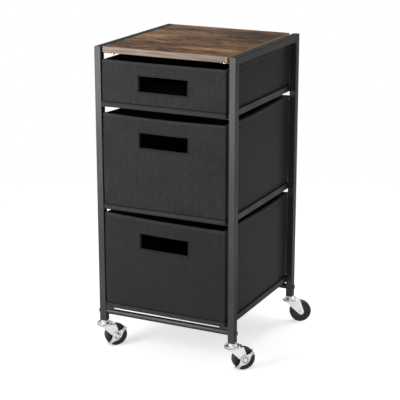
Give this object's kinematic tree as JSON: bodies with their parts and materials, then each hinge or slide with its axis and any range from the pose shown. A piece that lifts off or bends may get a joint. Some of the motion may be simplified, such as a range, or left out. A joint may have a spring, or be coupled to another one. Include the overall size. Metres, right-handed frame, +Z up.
{
  "type": "rolling drawer cart",
  "caption": "Slim rolling cart: black square-tube frame on swivel casters, wood-look top, and fabric bins with hand slots that slide out on steel runners.",
  "frame": {"origin": "on the floor, under the middle of the four legs", "axes": "+Z up, the front with the bins' hand slots faces -Y, +X to the right seen from the front"},
  "size_m": [0.3775, 0.3795, 0.68],
  "materials": {
    "black_powder_coat": "fine matt powder coat",
    "zinc_plate": "bright zinc plate",
    "black_bolts": "black oxide",
    "plain_steel": "plain turned steel",
    "bearing_steel": "polished",
    "socket_plastic": "moulded",
    "wood_laminate": "printed rustic plank laminate on fibreboard",
    "edge_band": "paper edge band",
    "bin_fabric": "charcoal twill weave",
    "bin_binding": "folded and stitched twill",
    "fibreboard": "raw fibreboard",
    "base_board_wrap": "fibreboard wrapped in black cloth",
    "wheel_plastic": "moulded",
    "tyre_rubber": "hard rubber"
  },
  "bodies": {
    "frame": {"front_left_leg": "black_powder_coat", "front_right_leg": "black_powder_coat", "rear_left_leg": "black_powder_coat", "rear_right_leg": "black_powder_coat", "left_top_rail": "black_powder_coat", "upper_left_runner": "black_powder_coat", "middle_left_runner": "black_powder_coat", "lower_left_runner": "black_powder_coat", "right_top_rail": "black_powder_coat", "upper_right_runner": "black_powder_coat", "middle_right_runner": "black_powder_coat", "lower_right_runner": "black_powder_coat", "front_crossbar": "black_powder_coat", "rear_crossbar": "black_powder_coat", "crossbar_plugs": "plain_steel", "crossbar_bolts": "black_bolts", "leg_sockets": "socket_plastic", "board_tabs": "black_powder_coat", "board_screws": "zinc_plate", "top_board": "wood_laminate", "top_board_edge_band": "edge_band", "front_left_caster_stem": "zinc_plate", "front_right_caster_stem": "zinc_plate", "rear_left_caster_stem": "zinc_plate", "rear_right_caster_stem": "zinc_plate", "swivel_balls": "bearing_steel"},
    "upper_bin": {"upper_bin_shell": "bin_fabric", "upper_bin_wall_boards": "fibreboard", "upper_bin_base_board": "base_board_wrap", "upper_bin_rim_binding": "bin_binding", "upper_bin_bottom_band": "bin_binding"},
    "middle_bin": {"middle_bin_shell": "bin_fabric", "middle_bin_wall_boards": "fibreboard", "middle_bin_base_board": "base_board_wrap", "middle_bin_rim_binding": "bin_binding", "middle_bin_bottom_band": "bin_binding"},
    "lower_bin": {"lower_bin_shell": "bin_fabric", "lower_bin_wall_boards": "fibreboard", "lower_bin_base_board": "base_board_wrap", "lower_bin_rim_binding": "bin_binding", "lower_bin_bottom_band": "bin_binding"},
    "front_left_caster": {"front_left_caster_fork": "zinc_plate", "front_left_caster_axle": "zinc_plate"},
    "front_left_wheel": {"front_left_wheel_core": "wheel_plastic", "front_left_tyre": "tyre_rubber"},
    "front_left_brake": {"front_left_brake_lever": "zinc_plate"},
    "front_right_caster": {"front_right_caster_fork": "zinc_plate", "front_right_caster_axle": "zinc_plate"},
    "front_right_wheel": {"front_right_wheel_core": "wheel_plastic", "front_right_tyre": "tyre_rubber"},
    "front_right_brake": {"front_right_brake_lever": "zinc_plate"},
    "rear_left_caster": {"rear_left_caster_fork": "zinc_plate", "rear_left_caster_axle": "zinc_plate"},
    "rear_left_wheel": {"rear_left_wheel_core": "wheel_plastic", "rear_left_tyre": "tyre_rubber"},
    "rear_right_caster": {"rear_right_caster_fork": "zinc_plate", "rear_right_caster_axle": "zinc_plate"},
    "rear_right_wheel": {"rear_right_wheel_core": "wheel_plastic", "rear_right_tyre": "tyre_rubber"}
  },
  "joints": [
    {"name": "upper_bin_slide", "type": "slide", "parent": "frame", "child": "upper_bin", "axis": [0, -1, 0], "range_m": [0, 0.25]},
    {"name": "middle_bin_slide", "type": "slide", "parent": "frame", "child": "middle_bin", "axis": [0, -1, 0], "range_m": [0, 0.25]},
    {"name": "lower_bin_slide", "type": "slide", "parent": "frame", "child": "lower_bin", "axis": [0, -1, 0], "range_m": [0, 0.25]},
    {"name": "front_left_swivel", "type": "hinge", "parent": "frame", "child": "front_left_caster", "pos_m": [-0.157, -0.162, 0.0535], "axis": [0, 0, 1], "continuous": true},
    {"name": "front_left_wheel_roll", "type": "hinge", "parent": "front_left_caster", "child": "front_left_wheel", "pos_m": [-0.13963, -0.14402, 0.025], "axis": [-0.7193, 0.6947, 0], "continuous": true},
    {"name": "front_left_brake_rock", "type": "hinge", "parent": "front_left_caster", "child": "front_left_brake", "pos_m": [-0.13963, -0.14402, 0.025], "axis": [-0.7193, 0.6947, 0], "range_deg": [0, 25]},
    {"name": "front_right_swivel", "type": "hinge", "parent": "frame", "child": "front_right_caster", "pos_m": [0.157, -0.162, 0.0535], "axis": [0, 0, 1], "continuous": true},
    {"name": "front_right_wheel_roll", "type": "hinge", "parent": "front_right_caster", "child": "front_right_wheel", "pos_m": [0.17498, -0.14463, 0.025], "axis": [-0.6947, 0.7193, 0], "continuous": true},
    {"name": "front_right_brake_rock", "type": "hinge", "parent": "front_right_caster", "child": "front_right_brake", "pos_m": [0.17498, -0.14463, 0.025], "axis": [-0.6947, 0.7193, 0], "range_deg": [0, 25]},
    {"name": "rear_left_swivel", "type": "hinge", "parent": "frame", "child": "rear_left_caster", "pos_m": [-0.157, 0.162, 0.0535], "axis": [0, 0, 1], "continuous": true},
    {"name": "rear_left_wheel_roll", "type": "hinge", "parent": "rear_left_caster", "child": "rear_left_wheel", "pos_m": [-0.13785, 0.17807, 0.025], "axis": [-0.6428, 0.766, 0], "continuous": true},
    {"name": "rear_right_swivel", "type": "hinge", "parent": "frame", "child": "rear_right_caster", "pos_m": [0.157, 0.162, 0.0535], "axis": [0, 0, 1], "continuous": true},
    {"name": "rear_right_wheel_roll", "type": "hinge", "parent": "rear_right_caster", "child": "rear_right_wheel", "pos_m": [0.17797, 0.17562, 0.025], "axis": [-0.5446, 0.8387, 0], "continuous": true}
  ]
}
